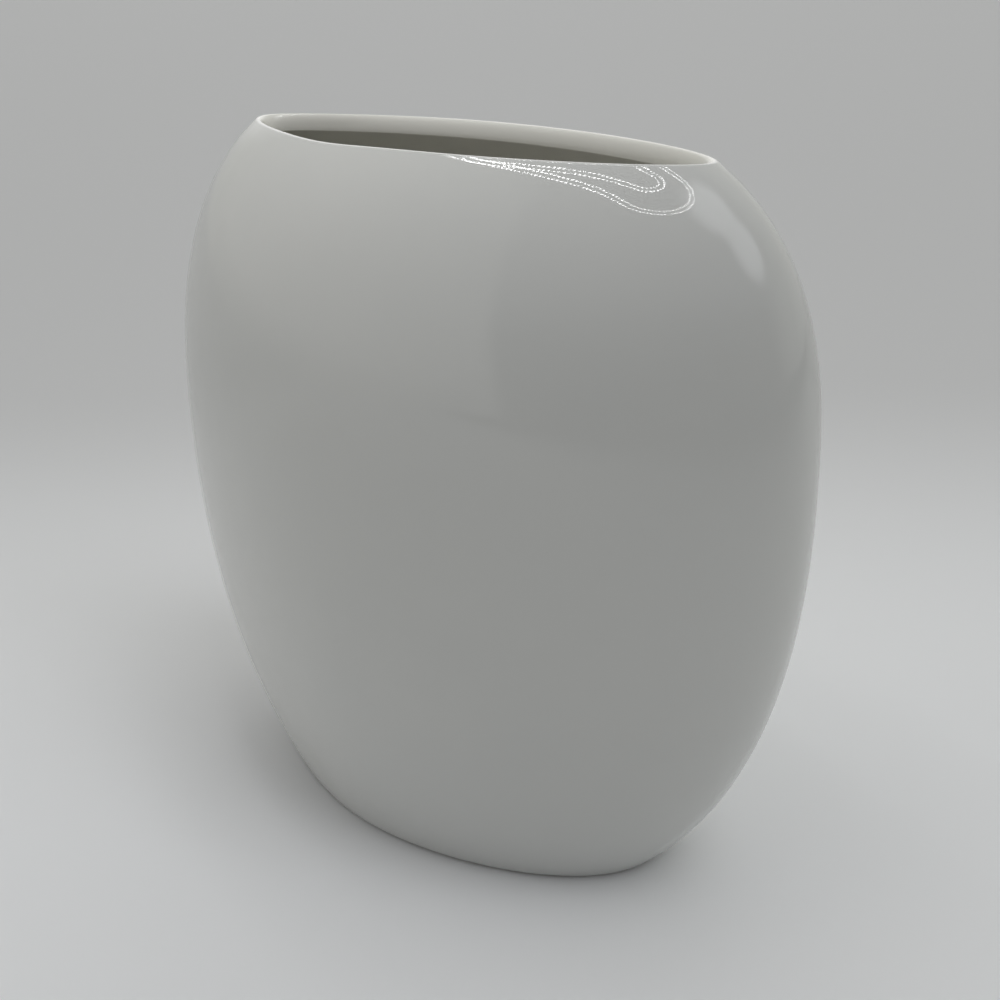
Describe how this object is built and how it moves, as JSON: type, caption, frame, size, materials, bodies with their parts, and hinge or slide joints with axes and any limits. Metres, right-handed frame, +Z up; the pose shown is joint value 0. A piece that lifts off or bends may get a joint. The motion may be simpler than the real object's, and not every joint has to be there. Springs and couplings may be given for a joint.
{
  "type": "pillow vase",
  "caption": "Free-standing glazed porcelain vase with flattened, swollen sides, a long narrow mouth with a deep rounded lip, and a bare foot ring.",
  "frame": {"origin": "on the ground at the centre of the foot, straight below the centre of the mouth", "axes": "+X along the long way of the mouth, +Y through the thin way of the body, +Z up out of the mouth"},
  "size_m": [0.2332, 0.129, 0.2],
  "materials": {
    "bare_porcelain": "fine matt unglazed porcelain, ground smooth on the foot ring",
    "outer_glaze": "glossy white glaze",
    "inner_glaze": "glossy white glaze, poured",
    "base_glaze": "glossy white glaze, slightly thinner and duller than the outside"
  },
  "bodies": {
    "root": {"porcelain_body": "bare_porcelain", "outer_glaze": "outer_glaze", "inner_glaze": "inner_glaze", "base_glaze": "base_glaze"}
  },
  "joints": []
}
